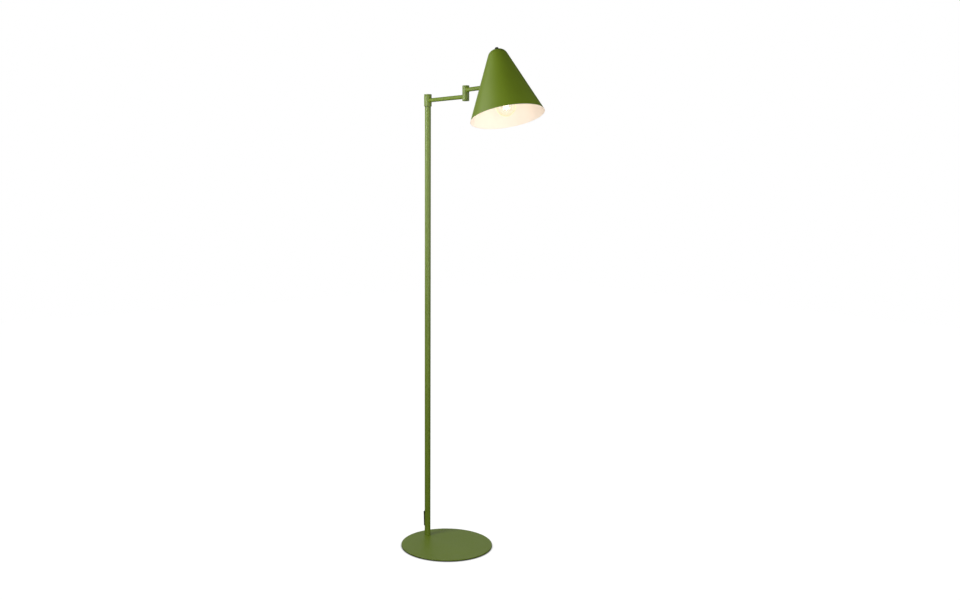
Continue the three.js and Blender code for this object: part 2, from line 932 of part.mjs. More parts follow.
function shadeAssembly() {
  const made = group(
    piece('shade_shell', shadeShell(), greenPaint),
    piece('shade_cap_washer', shadeCapWasher(), blackPlastic),
    piece('shade_cap_nut', shadeCapNut(), blackPlastic),
    piece('holder_rod', holderRod(), zincSteel),
    piece('rod_inner_washer', rodInnerWasher(), zincSteel),
    piece('rod_inner_nut', rodInnerNut(), zincSteel),
    piece('holder_cap', holderCap(), blackPlastic),
    piece('holder_skirt', holderSkirt(), blackPlastic),
    piece('holder_sleeve', holderSleeve(), brass),
    piece('holder_insert', holderInsert(), ceramic),
    piece('holder_contact', holderContact(), brass),
    piece('shade_lead', shadeLead(), leadSheath),
    piece('bulb_envelope', bulbEnvelope(), bulbGlass),
    piece('bulb_cap', bulbCap(), capMetal),
    piece('bulb_contact', bulbContact(), brass),
    piece('bulb_stem', bulbStem(), bulbGlass),
    piece('bulb_filament', bulbFilament(), filamentGlow),
  );
  made.position.set(tiltToShadeAxis, 0, -tiltAboveMouth);
  const tilting = group(tiltJoint(), made);
  tilting.rotation.y = -shadeTilt;
  tilting.position.set(arm2Length, 0, arm2Height - elbowMiddle);
  return tilting;
}

// ---------------------------------------------------------------- the lamp

const arm2 = secondArm();
arm2.add(shadeAssembly());

const arm1 = firstArm();
arm1.add(arm2);
arm1.position.x = -poleOffset;

export default group(baseAndPole(), arm1);
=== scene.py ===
"""The looks of an adjustable arm floor lamp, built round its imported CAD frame.

Every piece is made at its CAD size in millimetres, in the frame of the joint it hangs from,
and is placed in the row frame in metres.
"""

import json
from math import atan, cos, pi, radians, sin, sqrt, tan

import bmesh
import bpy
from mathutils import Matrix, Vector


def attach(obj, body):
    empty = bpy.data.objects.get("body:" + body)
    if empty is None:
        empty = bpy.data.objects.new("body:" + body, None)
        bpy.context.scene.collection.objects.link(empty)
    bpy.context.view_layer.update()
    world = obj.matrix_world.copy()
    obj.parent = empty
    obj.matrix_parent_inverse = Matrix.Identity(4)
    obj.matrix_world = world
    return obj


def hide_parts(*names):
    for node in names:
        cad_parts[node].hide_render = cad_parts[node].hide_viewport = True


MM = 0.001

# ------------------------------------------------------------------ driving sizes, in mm

BASE_RADIUS = 140
PAD_TOP = 0.9
PLATE_BOTTOM = 1
PLATE_TOP = 5
POLE_RADIUS = 9.2
POLE_TOP = 1343.2

COLLAR_RADIUS = 11.4
COLLAR_BOTTOM = 1344
COLLAR_TOP = 1380
COLLAR_CAP = 5.2

ARM_RADIUS = 6
ARM1_HEIGHT = 1361.5
ARM1_LENGTH = 184
ARM2_HEIGHT = 9.5          # above the elbow's middle
ARM2_LENGTH = 104

ELBOW_RADIUS = 10
ELBOW_MIDDLE = 1371
ELBOW_HALF = 22
ELBOW_CAP = 3.9
FACE_GAP = 0.3

MOUTH_RADIUS = 102.3
CONE_ANGLE = radians(23.08)
SHADE_HEIGHT = 192
DOME_RADIUS = 24
SHADE_WALL = 1
SHADE_TILT = radians(16.25)
TILT_TO_SHADE = 76         # tilt axis to the cone's axis
TILT_ABOVE_MOUTH = 113

KNUCKLE_RADIUS = 9
KNUCKLE_HALF = 8
CHEEK_INNER = KNUCKLE_HALF + 0.4
CHEEK_OUTER = CHEEK_INNER + 3
STUD_RADIUS = 5
LEAD_RADIUS = 1.6

HOLDER_RADIUS = 19.5
HOLDER_FOOT = 78
SKIRT_TOP = 104
HOLDER_TOP = 130
ROD_RADIUS = 3

BULB_RADIUS = 27.5
BULB_CENTRE = 30
BULB_NECK_RADIUS = 12.4
BULB_NECK_TOP = 75

WALL_DISTANCE = (
    TILT_TO_SHADE - MOUTH_RADIUS + TILT_ABOVE_MOUTH * tan(CONE_ANGLE)
) * cos(CONE_ANGLE)

# ------------------------------------------------------------------ the frame

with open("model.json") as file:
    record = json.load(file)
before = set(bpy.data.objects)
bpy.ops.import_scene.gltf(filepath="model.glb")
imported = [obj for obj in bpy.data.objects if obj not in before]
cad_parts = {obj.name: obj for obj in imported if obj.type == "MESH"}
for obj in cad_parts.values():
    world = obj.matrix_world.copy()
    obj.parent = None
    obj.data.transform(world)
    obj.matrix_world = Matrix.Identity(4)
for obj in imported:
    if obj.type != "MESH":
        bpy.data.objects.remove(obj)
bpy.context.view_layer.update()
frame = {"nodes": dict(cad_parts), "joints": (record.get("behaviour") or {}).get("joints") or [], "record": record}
scene = bpy.context.scene

BODY_OF = {
    node: body
    for body, nodes in frame["record"]["behaviour"]["bodies"].items()
    for node in nodes
}
JOINTS = {joint["name"]: joint for joint in frame["joints"]}
JOINT_AT = {name: Vector(joint["pos_m"]) for name, joint in JOINTS.items()}
TILT_AXIS = JOINTS["shade_tilt"]["axis"]
ELBOW_TURN = -atan(TILT_AXIS[0] / TILT_AXIS[1])


def moved(x, y, z):
    """A shift in mm as a matrix in metres."""
    return Matrix.Translation(Vector((x, y, z)) * MM)


ROW = Matrix.Identity(4)
POLE = moved(JOINT_AT["arm_swing"].x / MM, 0, 0)
ELBOW = Matrix.Translation(JOINT_AT["elbow_swing"])
ARM2 = ELBOW @ Matrix.Rotation(ELBOW_TURN, 4, "Z")
TILT = Matrix.Translation(JOINT_AT["shade_tilt"]) @ Matrix.Rotation(
    ELBOW_TURN, 4, "Z"
) @ Matrix.Rotation(-SHADE_TILT, 4, "Y")
YOKE = TILT @ Matrix.Rotation(CONE_ANGLE, 4, "Y")
SHADE = TILT @ moved(TILT_TO_SHADE, 0, -TILT_ABOVE_MOUTH)

# ------------------------------------------------------------------ mesh helpers


def arc(centre_radius, centre_height, radius, start, end, steps):
    """Points of an arc in a profile of (radius, height), both ends included."""
    angles = [start + (end - start) * i / steps for i in range(steps + 1)]
    return [
        (centre_radius + radius * cos(a), centre_height + radius * sin(a)) for a in angles
    ]


def eased(corners, steps=4):
    """A profile whose corners (radius, height, rounding) are each eased by a small curve."""
    profile = []
    for i, (x, y, *rounding) in enumerate(corners):
        corner = Vector((x, y))
        size = rounding[0] if rounding else 0
        if not size:
            profile.append((x, y))
            continue
        before = Vector(corners[i - 1][:2]) - corner
        after = Vector(corners[(i + 1) % len(corners)][:2]) - corner
        start = corner + before.normalized() * min(size, before.length / 2)
        end = corner + after.normalized() * min(size, after.length / 2)
        for step in range(steps + 1):
            t = step / steps
            point = start.lerp(corner, t).lerp(corner.lerp(end, t), t)
            profile.append((point.x, point.y))
    return profile


def finished_mesh(name, bm, sharp=radians(38)):
    """The mesh of bm in metres, smooth apart from its sharp edges."""
    bmesh.ops.remove_doubles(bm, verts=bm.verts, dist=1e-4)
    bmesh.ops.recalc_face_normals(bm, faces=bm.faces)
    bmesh.ops.scale(bm, vec=(MM, MM, MM), verts=bm.verts)
    for face in bm.faces:
        face.smooth = True
    for edge in bm.edges:
        edge.smooth = edge.calc_face_angle(0) < sharp
    mesh = bpy.data.meshes.new(name)
    bm.to_mesh(mesh)
    bm.free()
    return mesh


def add_turned(bm, profile, segments=96, inner_from=None, matrix=None):
    """Adds a profile of (radius, height) turned about Z. Points on the axis close the form.

    Faces that start at profile point inner_from or later take the second material.
    """
    rings = []
    for radius, height in profile:
        if radius < 1e-6:
            rings.append([bm.verts.new((0, 0, height))])
            continue
        angles = [2 * pi * i / segments for i in range(segments)]
        rings.append([bm.verts.new((radius * cos(a), radius * sin(a), height)) for a in angles])
    closed = profile[0][0] > 1e-6 or profile[-1][0] > 1e-6
    spans = len(rings) if closed else len(rings) - 1
    for row in range(spans):
        lower = rings[row]
        upper = rings[(row + 1) % len(rings)]
        if len(lower) == 1 and len(upper) == 1:
            continue
        for i in range(segments):
            j = (i + 1) % segments
            corners = [lower[i % len(lower)], lower[j % len(lower)]]
            corners += [upper[j % len(upper)], upper[i % len(upper)]]
            unique = list(dict.fromkeys(corners))
            face = bm.faces.new(unique)
            face.material_index = int(inner_from is not None and row >= inner_from)
    if matrix is not None:
        verts = [v for ring in rings for v in ring]
        bmesh.ops.transform(bm, matrix=matrix, verts=verts)


def add_bent_tube(bm, route, radius, spans=6, sides=20):
    """Adds a round tube of that radius on a smooth curve through the route's points."""
    points = smooth_route([Vector(p) for p in route], spans)
    across = Vector((0, 1, 0))
    rings = []
    for i, point in enumerate(points):
        ahead = (points[min(i + 1, len(points) - 1)] - points[max(i - 1, 0)]).normalized()
        side = (across - ahead * across.dot(ahead)).normalized()
        across = side
        up = ahead.cross(side)
        angles = [2 * pi * k / sides for k in range(sides)]
        rings.append(
            [bm.verts.new(point + radius * (side * cos(a) + up * sin(a))) for a in angles]
        )
    for lower, upper in zip(rings, rings[1:]):
        for k in range(sides):
            j = (k + 1) % sides
            bm.faces.new((lower[k], lower[j], upper[j], upper[k]))
    bm.faces.new(rings[0])
    bm.faces.new(rings[-1])


def smooth_route(points, spans):
    """Points on a smooth curve through the given ones, with that many steps in each span."""
    padded = [2 * points[0] - points[1], *points, 2 * points[-1] - points[-2]]
    route = []
    for a, b, c, d in zip(padded, padded[1:], padded[2:], padded[3:]):
        for step in range(spans):
            t = step / spans
            route.append(
                0.5
                * (
                    2 * b
                    + (c - a) * t
                    + (2 * a - 5 * b + 4 * c - d) * t**2
                    + (3 * b - a - 3 * c + d) * t**3
                )
            )
    return [*route, points[-1]]


def add_prism(bm, outline, low, high, matrix=None):
    """Adds a flat outline of (x, y) points drawn out along Z from low to high."""
    bottom = [bm.verts.new((x, y, low)) for x, y in outline]
    top = [bm.verts.new((x, y, high)) for x, y in outline]
    bm.faces.new(bottom[::-1])
    bm.faces.new(top)
    for i in range(len(outline)):
        j = (i + 1) % len(outline)
        bm.faces.new((bottom[i], bottom[j], top[j], top[i]))
    if matrix is not None:
        bmesh.ops.transform(bm, matrix=matrix, verts=bottom + top)


ALONG_X = Matrix.Rotation(pi / 2, 4, "Y")
ALONG_Y = Matrix.Rotation(-pi / 2, 4, "X")


def turned_mesh(name, profile, segments=96, inner_from=None, matrix=None):
    bm = bmesh.new()
    add_turned(bm, profile, segments, inner_from, matrix)
    return finished_mesh(name, bm)


def tube_profile(inner, outer, bottom, top, rounding=0.4):
    return eased(
        [
            (outer, bottom, rounding),
            (outer, top, rounding),
            (inner, top, rounding),
            (inner, bottom, rounding),
        ]
    )


def place(name, mesh, frame_matrix, materials):
    made = bpy.data.objects.new(name, mesh)
    scene.collection.objects.link(made)
    made.matrix_world = frame_matrix
    for material in materials:
        made.data.materials.append(material)
    return made


def stand_in(node, mesh, frame_matrix, slot, *materials):
    """A finely made piece that stands for a CAD node and moves with its body."""
    made = place(node + "_fine", mesh, frame_matrix, materials)
    even = made.modifiers.new("even_normals", "WEIGHTED_NORMAL")
    even.keep_sharp = True
    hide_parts(node)
    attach(made, BODY_OF[node])
    return made


def carved(name, body, *tools, bevel=0.35):
    """The mesh of body with the tools cut from it and its edges rounded."""
    host = place(name + "_host", body, ROW, [])
    cutters = [place(f"{name}_tool_{i}", tool, ROW, []) for i, tool in enumerate(tools)]
    for cutter in cutters:
        cutting = host.modifiers.new(cutter.name, "BOOLEAN")
        cutting.operation = "DIFFERENCE"
        cutting.solver = "EXACT"
        cutting.object = cutter
    rounding = host.modifiers.new("rounding", "BEVEL")
    rounding.width = bevel * MM
    rounding.segments = 3
    rounding.limit_method = "ANGLE"
    rounding.angle_limit = radians(35)
    bpy.context.view_layer.update()
    evaluated = host.evaluated_get(bpy.context.evaluated_depsgraph_get())
    mesh = bpy.data.meshes.new_from_object(evaluated)
    mesh.name = name
    for helper in [host, *cutters]:
        bpy.data.objects.remove(helper)
    return mesh


# ------------------------------------------------------------------ material helpers


class Shading:
    """A new node material with its principled shader and short ways to feed it."""

    def __init__(self, name, roughness, metallic=0.0, specular=0.5):
        self.material = bpy.data.materials.new(name)
        self.material.use_nodes = True
        self.tree = self.material.node_tree
        self.shader = self.tree.nodes["Principled BSDF"]
        self.shader.inputs["Roughness"].default_value = roughness
        self.shader.inputs["Metallic"].default_value = metallic
        self.shader.inputs["Specular IOR Level"].default_value = specular
        self.place = self.add("ShaderNodeTexCoord").outputs["Object"]

    def add(self, kind, **settings):
        node = self.tree.nodes.new(kind)
        for key, value in settings.items():
            setattr(node, key, value)
        return node

    def link(self, output, target):
        self.tree.links.new(output, target)

    def stretched(self, x, y, z):
        """Object coordinates with each axis scaled."""
        mapping = self.add("ShaderNodeMapping")
        mapping.inputs["Scale"].default_value = (x, y, z)
        self.link(self.place, mapping.inputs["Vector"])
        return mapping.outputs["Vector"]

    def noise(self, size_mm, detail=3.0, coordinates=None):
        """A noise whose blotches are about size_mm across."""
        node = self.add("ShaderNodeTexNoise")
        node.inputs["Scale"].default_value = 1 / (size_mm * MM)
        node.inputs["Detail"].default_value = detail
        self.link(coordinates or self.place, node.inputs["Vector"])
        return node.outputs["Fac"]

    def ramp(self, value, *stops):
        """A colour ramp through (position, colour) stops."""
        node = self.add("ShaderNodeValToRGB")
        elements = node.color_ramp.elements
        while len(elements) < len(stops):
            elements.new(0.5)
        for element, (position, colour) in zip(elements, stops):
            element.position = position
            element.color = (*colour, 1)
        self.link(value, node.inputs["Fac"])
        return node.outputs["Color"]

    def mixed(self, factor, first, second):
        node = self.add("ShaderNodeMix", data_type="RGBA")
        self.link(factor, node.inputs["Factor"])
        for colour, socket in zip((first, second), ("A", "B")):
            target = next(
                s for s in node.inputs if s.name == socket and s.type == "RGBA"
            )
            if isinstance(colour, tuple):
                target.default_value = (*colour, 1)
            else:
                self.link(colour, target)
        return next(s for s in node.outputs if s.type == "RGBA")

    def multiplied(self, first, second):
        node = self.add("ShaderNodeMix", data_type="RGBA", blend_type="MULTIPLY")
        node.inputs["Factor"].default_value = 1
        sockets = [s for s in node.inputs if s.type == "RGBA"]
        self.link(first, sockets[0])
        self.link(second, sockets[1])
        return next(s for s in node.outputs if s.type == "RGBA")

    def height_between(self, low, high):
        """0 below the height low and 1 above high, both in mm in the piece's own frame."""
        split = self.add("ShaderNodeSeparateXYZ")
        self.link(self.place, split.inputs["Vector"])
        node = self.add("ShaderNodeMapRange")
        node.inputs["From Min"].default_value = low * MM
        node.inputs["From Max"].default_value = high * MM
        self.link(split.outputs["Z"], node.inputs["Value"])
        return node.outputs["Result"]

    def ranged(self, value, low, high):
        """A value from 0 to 1 carried over to low to high."""
        node = self.add("ShaderNodeMapRange")
        node.inputs["To Min"].default_value = low
        node.inputs["To Max"].default_value = high
        self.link(value, node.inputs["Value"])
        return node.outputs["Result"]

    def bump(self, height, depth_mm, strength=1.0, under=None):
        node = self.add("ShaderNodeBump")
        node.inputs["Distance"].default_value = depth_mm * MM
        node.inputs["Strength"].default_value = strength
        self.link(height, node.inputs["Height"])
        if under is not None:
            self.link(under, node.inputs["Normal"])
        return node.outputs["Normal"]

    def set(self, socket, output):
        self.link(output, self.shader.inputs[socket])


def shade_of(colour, factor):
    return tuple(channel * factor for channel in colour)


# ------------------------------------------------------------------ materials

OLIVE = (0.12, 0.181, 0.0045)
OLIVE_WORN = (0.19, 0.27, 0.035)
CREAM = (0.68, 0.61, 0.54)
FLOOR_GLOW = 1.0


def powder_coat(name, colour, worn, roughness=0.44, specular=0.6, painted_shade_heights=None):
    """Satin powder coat: orange peel, a fine grain, cloudy gloss and paler edges.

    Between the two heights given, in mm, the colour darkens towards the lower one: painted shade on the plate's
    edge near the floor.
    """
    coat = Shading(name, roughness, specular=specular)
    cloud = coat.noise(60, detail=4)
    speck = coat.noise(0.8, detail=2)
    body = coat.mixed(cloud, shade_of(colour, 0.94), shade_of(colour, 1.06))
    edge = coat.add("ShaderNodeNewGeometry").outputs["Pointiness"]
    wear = coat.ramp(edge, (0.53, (0, 0, 0)), (0.62, (0.35, 0.35, 0.35)))
    grained = coat.mixed(coat.ranged(speck, 0, 0.12), body, worn)
    paint = coat.mixed(wear, grained, worn)
    # Painted shade: the colour is darkened towards the lower height, where the floor leaves the plate's edge in
    # shade.
    if painted_shade_heights is not None:
        low, high = painted_shade_heights
        painted_shade = coat.ramp(coat.height_between(low, high), (0, (0.35,) * 3), (1, (1, 1, 1)))
        paint = coat.multiplied(paint, painted_shade)
    coat.set("Base Color", paint)
    coat.set("Roughness", coat.ranged(cloud, roughness - 0.05, roughness + 0.06))
    peel = coat.bump(coat.noise(1.6, detail=1), 0.03, 0.35)
    coat.set("Normal", coat.bump(speck, 0.012, 0.3, under=peel))
    return coat.material


def moulded(name, colour, roughness, grain_mm=0.5, depth_mm=0.02, specular=0.4):
    """Moulded plastic, rubber, ceramic or silicone with a fine surface grain."""
    skin = Shading(name, roughness, specular=specular)
    cloud = skin.noise(14, detail=3)
    grain = skin.noise(grain_mm, detail=2)
    skin.set("Base Color", skin.mixed(cloud, shade_of(colour, 0.85), shade_of(colour, 1.15)))
    skin.set("Roughness", skin.ranged(grain, roughness - 0.06, roughness + 0.08))
    skin.set("Normal", skin.bump(grain, depth_mm, 0.5))
    return skin.material


def bare_metal(name, colour, roughness):
    """Plated or turned metal with fine tool rings and clouded plating."""
    metal = Shading(name, roughness, metallic=1.0)
    cloud = metal.noise(9, detail=5)
    rings = metal.noise(1.0, detail=3, coordinates=metal.stretched(0.15, 0.15, 2.5))
    metal.set("Base Color", metal.mixed(cloud, shade_of(colour, 0.8), colour))
    metal.set("Roughness", metal.ranged(rings, roughness - 0.08, roughness + 0.14))
    metal.set("Normal", metal.bump(rings, 0.015, 0.35))
    return metal.material


def glowing(name, colour, glow_with_painted_shadow, strength, roughness=0.1):
    """A lit surface, brighter in some places than in others."""
    painted_shade = Shading(name, roughness)
    cloud = painted_shade.noise(6, detail=2)
    painted_shade.set("Base Color", painted_shade.mixed(cloud, shade_of(colour, 0.9), colour))
    painted_shade.set("Emission Color", painted_shade.mixed(cloud, shade_of(glow_with_painted_shadow, 0.85), glow_with_painted_shadow))
    painted_shade.shader.inputs["Emission Strength"].default_value = strength
    return painted_shade.material


def lining(name, colour, glow_with_painted_shadow, strength):
    """Matt paint inside the shade, with painted light in its emission standing in for the glow the lit bulb leaves
    in it.
    """
    paint = Shading(name, 0.62, specular=0.3)
    cloud = paint.noise(45, detail=3)
    speck = paint.noise(0.9, detail=2)
    paint.set("Base Color", paint.mixed(cloud, shade_of(colour, 0.97), shade_of(colour, 1.03)))
    paint.set("Emission Color", paint.mixed(cloud, shade_of(glow_with_painted_shadow, 0.95), glow_with_painted_shadow))
    paint.shader.inputs["Emission Strength"].default_value = strength
    paint.set("Roughness", paint.ranged(speck, 0.56, 0.68))
    paint.set("Normal", paint.bump(speck, 0.012, 0.3))
    return paint.material


def bulb_glass():
    """Clear glass that shows at its rim as a faint amber line over the lit inside."""
    glass = Shading("bulb_glass", 0.04)
    facing = glass.add("ShaderNodeLayerWeight")
    facing.inputs["Blend"].default_value = 0.32
    rim = facing.outputs["Facing"]
    wave = glass.noise(11, detail=2)
    glass.set("Base Color", glass.mixed(wave, (0.02, 0.018, 0.015), (0.03, 0.026, 0.02)))
    glass.set("Alpha", glass.ranged(rim, 0.06, 0.72))
    glass.set("Emission Color", glass.mixed(rim, (1.0, 0.90, 0.68), (1.0, 0.62, 0.24)))
    glass.shader.inputs["Emission Strength"].default_value = 1.02
    glass.set("Normal", glass.bump(wave, 0.05, 0.2))
    return glass.material


def pale_floor():
    """A pale floor that reads as white, with a painted contact shadow close round what stands on it."""
    floor = Shading("studio_floor", 0.8, specular=0.1)
    cloud = floor.noise(400, detail=2)
    floor.set("Base Color", floor.mixed(cloud, (0.05, 0.05, 0.05), (0.06, 0.06, 0.06)))
    # Painted shadow: the floor's glow drops where ambient occlusion finds something close above it.
    contact_shadow = floor.add("ShaderNodeAmbientOcclusion", samples=12)
    contact_shadow.inputs["Distance"].default_value = 12 * MM
    glow_with_painted_shadow = floor.ramp(contact_shadow.outputs["AO"], (0.35, (0.1, 0.1, 0.1)), (0.9, (1, 1, 1)))
    floor.set("Emission Color", glow_with_painted_shadow)
    floor.shader.inputs["Emission Strength"].default_value = FLOOR_GLOW
    return floor.material


green = powder_coat("olive_powder_coat", OLIVE, OLIVE_WORN)
# The plate's paint, with painted shade darkening its edge towards the floor.
plate_green_painted_shade = powder_coat(
    "olive_plate_coat_painted_shade", OLIVE, OLIVE_WORN, painted_shade_heights=(PLATE_BOTTOM, PLATE_TOP - 0.3)
)
# The lining's emission is painted light, standing in for the bulb's glow on it.
cream_painted_glow = lining("cream_shade_lining_painted_glow", CREAM, (1.0, 0.82, 0.65), 0.34)
black = moulded("black_plastic", (0.006, 0.0065, 0.006), 0.5, specular=0.2)
rubber = moulded("black_rubber", (0.018, 0.018, 0.018), 0.85, grain_mm=0.9, depth_mm=0.05)
nylon = moulded("dark_nylon", (0.022, 0.023, 0.025), 0.55)
sheath = moulded("white_silicone", (0.70, 0.68, 0.62), 0.5, grain_mm=0.7)
porcelain = moulded("porcelain", (0.78, 0.74, 0.66), 0.3, grain_mm=1.5, depth_mm=0.04)
steel = bare_metal("zinc_plated_steel", (0.56, 0.57, 0.55), 0.32)
brass_metal = bare_metal("turned_brass", (0.62, 0.42, 0.16), 0.3)
cap_metal = bare_metal("nickel_cap", (0.62, 0.61, 0.58), 0.26)
glass = bulb_glass()
stem_glass = glowing("stem_glass", (0.9, 0.88, 0.82), (1.0, 0.86, 0.6), 0.5)
filament_glow = glowing("filament_glow", (1.0, 0.8, 0.5), (1.0, 0.86, 0.55), 9, 0.5)

# ------------------------------------------------------------------ base and pole


def base_plate():
    edge = 1.2
    under_edge = 0.5
    rim = BASE_RADIUS - edge
    profile = [
        (0, PLATE_BOTTOM),
        (BASE_RADIUS - 3, PLATE_BOTTOM),
        *arc(
            BASE_RADIUS - under_edge, PLATE_BOTTOM + under_edge, under_edge, -pi / 2, 0, 4
        ),
        *arc(rim, PLATE_TOP - edge, edge, 0, pi / 2, 8),
        (rim - 2, PLATE_TOP),
        (BASE_RADIUS - 24, PLATE_TOP),
        (0, PLATE_TOP),
    ]
    mesh = turned_mesh("base_plate_fine", profile, segments=224)
    stand_in("base_plate", mesh, ROW, "green_paint", plate_green_painted_shade)


def base_pad():
    profile = eased(
        [(0, 0), (BASE_RADIUS - 3, 0, 0.3), (BASE_RADIUS - 3, PAD_TOP, 0.3), (0, PAD_TOP)]
    )
    mesh = turned_mesh("base_pad_fine", profile, segments=160)
    stand_in("base_pad", mesh, ROW, "pad_rubber", rubber)


def pole_tube():
    profile = tube_profile(POLE_RADIUS - 1, POLE_RADIUS, PLATE_TOP + 0.2, POLE_TOP)
    mesh = turned_mesh("pole_tube_fine", profile, segments=72)
    stand_in("pole_tube", mesh, POLE, "green_paint", green)


def cord_gland():
    """A tapered boot down the pole's back, open at its foot, with a spigot at its head."""
    foot = 32.5
    top = 80
    foot_radius = 3.8
    top_radius = 4.4
    bore = 3.3
    entry = 76
    lean = atan((top_radius - foot_radius) / (top - foot))
    boot = eased(
        [
            (foot_radius, foot, 0.5),
            (top_radius, top - 1.5, 1.2),
            (0, top + 0.1),
            (0, entry),
            (bore, entry, 0.3),
            (bore, foot, 0.3),
        ]
    )
    centre = -POLE_RADIUS - 0.15 - foot_radius
    upright = Matrix.Translation((centre, 0, foot)) @ Matrix.Rotation(-lean, 4, "Y")
    bm = bmesh.new()
    add_turned(bm, boot, 48, matrix=upright @ Matrix.Translation((0, 0, -foot)))
    neck = eased([(0, 0), (3.9, 0, 0.6), (3.9, 5.2), (0, 5.2)])
    reach = Matrix.Translation((centre, 0, entry)) @ ALONG_X
    add_turned(bm, neck, 40, matrix=reach)
    mesh = finished_mesh("cord_gland_fine", bm)
    stand_in("cord_gland", mesh, POLE, "black_plastic", black)


# ------------------------------------------------------------------ arms


def end_cap(node, radius, height, plug_radius, plug_depth, seat):
    """A cap with a rounded edge and a plug, its seat at the given matrix."""
    edge = 0.9
    profile = [
        (0, -plug_depth),
        (plug_radius, -plug_depth),
        (plug_radius, 0),
        *eased([(plug_radius, 0), (radius, 0, 0.25), (radius, 1)])[1:-1],
        *arc(radius - edge, height - edge, edge, 0, pi / 2, 8),
        (radius - 2 * edge, height),
        (0, height),
    ]
    mesh = turned_mesh(node + "_fine", profile, segments=72)
    stand_in(node, mesh, seat, "green_paint", green)


def add_saddle(bm, barrel_radius, height, reach=1.1, sides=64, steps=6):
    """Adds the small fillet where an arm along X meets an upright barrel on the Z axis."""
    sunk = 0.05
    widest = barrel_radius**2 * 0.98
    rings = []
    for step in range(steps + 1):
        t = step / steps
        ring = []
        for i in range(sides):
            angle = 2 * pi * i / sides
            wide = ARM_RADIUS + reach * (1 - t) ** 2 + 0.01 * (1 - t)
            y = wide * cos(angle)
            z = wide * sin(angle)
            wall = sqrt(barrel_radius**2 - min(y * y, widest))
            ring.append(bm.verts.new((wall - sunk + reach * t**2, y, z + height)))
        rings.append(ring)
    for lower, upper in zip(rings, rings[1:]):
        for i in range(sides):
            j = (i + 1) % sides
            bm.faces.new((lower[i], lower[j], upper[j], upper[i]))


def collar():
    """The sleeve on the pole's top, closed inside where the pole's fitting turns."""
    rim = COLLAR_TOP - COLLAR_CAP - FACE_GAP
    cavity = 9.2
    bore = 6.7
    profile = eased(
        [
            (COLLAR_RADIUS, COLLAR_BOTTOM, 0.7),
            (COLLAR_RADIUS, rim, 0.35),
            (cavity, rim, 0.3),
            (cavity, COLLAR_BOTTOM + 4),
            (bore, COLLAR_BOTTOM + 4),
            (bore, COLLAR_BOTTOM, 0.3),
        ]
    )
    bm = bmesh.new()
    add_turned(bm, profile, 88)
    add_saddle(bm, COLLAR_RADIUS, ARM1_HEIGHT)
    mesh = finished_mesh("arm1_collar_fine", bm)
    stand_in("arm1_collar", mesh, POLE, "green_paint", green)
    seat = POLE @ moved(0, 0, COLLAR_TOP - COLLAR_CAP)
    end_cap("collar_cap", COLLAR_RADIUS, COLLAR_CAP, 9, 4, seat)


def washer(node, inner, outer, bottom, top, frame_matrix, slot, material, along=None):
    profile = tube_profile(inner, outer, bottom, top, rounding=(top - bottom) / 3)
    mesh = turned_mesh(node + "_fine", profile, segments=64, matrix=along)
    stand_in(node, mesh, frame_matrix, slot, material)


def arm_tube(node, start, end, frame_matrix, height):
    profile = tube_profile(ARM_RADIUS - 1, ARM_RADIUS, start, end, rounding=0.3)
    turn = Matrix.Translation((0, 0, height)) @ ALONG_X
    mesh = turned_mesh(node + "_fine", profile, segments=56, matrix=turn)
    stand_in(node, mesh, frame_matrix, "green_paint", green)


def elbow_barrel(node, frame_matrix, arm_height, arm_side):
    """Half of the elbow, standing on its middle face, with the fillet round its arm."""
    start = 0.4
    floor = start + 3
    height = ELBOW_HALF - ELBOW_CAP - FACE_GAP
    cavity = 7.4
    profile = eased(
        [
            (ELBOW_RADIUS, start, 0.45),
            (ELBOW_RADIUS, height, 0.35),
            (cavity, height, 0.3),
            (cavity, floor),
            (5.2, floor),
            (5.2, start, 0.2),
        ]
    )
    bm = bmesh.new()
    add_turned(bm, profile, 80)
    add_saddle(bm, ELBOW_RADIUS, arm_height)
    if arm_side < 0:
        bmesh.ops.rotate(bm, verts=bm.verts, matrix=Matrix.Rotation(pi, 3, "Y"))
    mesh = finished_mesh(node + "_fine", bm)
    stand_in(node, mesh, frame_matrix, "green_paint", green)


def first_arm():
    collar()
    arm_tube("arm1_tube", 8.6, ARM1_LENGTH - 7.7, POLE, ARM1_HEIGHT)
    elbow_barrel("elbow_lower_barrel", ELBOW, ELBOW_MIDDLE - ARM1_HEIGHT, -1)
    flipped = ELBOW @ Matrix.Rotation(pi, 4, "X") @ moved(0, 0, ELBOW_HALF - ELBOW_CAP)
    end_cap("elbow_bottom_cap", ELBOW_RADIUS, ELBOW_CAP, 7.2, 2, flipped)
    washer("elbow_washer", 5.2, ELBOW_RADIUS - 0.6, -0.3, 0.3, ELBOW, "nylon", nylon)


def second_arm():
    elbow_barrel("elbow_upper_barrel", ARM2, ARM2_HEIGHT, 1)
    seat = ARM2 @ moved(0, 0, ELBOW_HALF - ELBOW_CAP)
    end_cap("elbow_top_cap", ELBOW_RADIUS, ELBOW_CAP, 7.2, 2, seat)
    arm_tube("arm2_tube", 7.7, ARM2_LENGTH - KNUCKLE_RADIUS + 1.4, ARM2, ARM2_HEIGHT)


# ------------------------------------------------------------------ tilt joint


def solid_rod(name, radius, low, high, segments, matrix=None):
    profile = [(0, low), (radius, low), (radius, high), (0, high)]
    return turned_mesh(name, profile, segments, matrix=matrix)


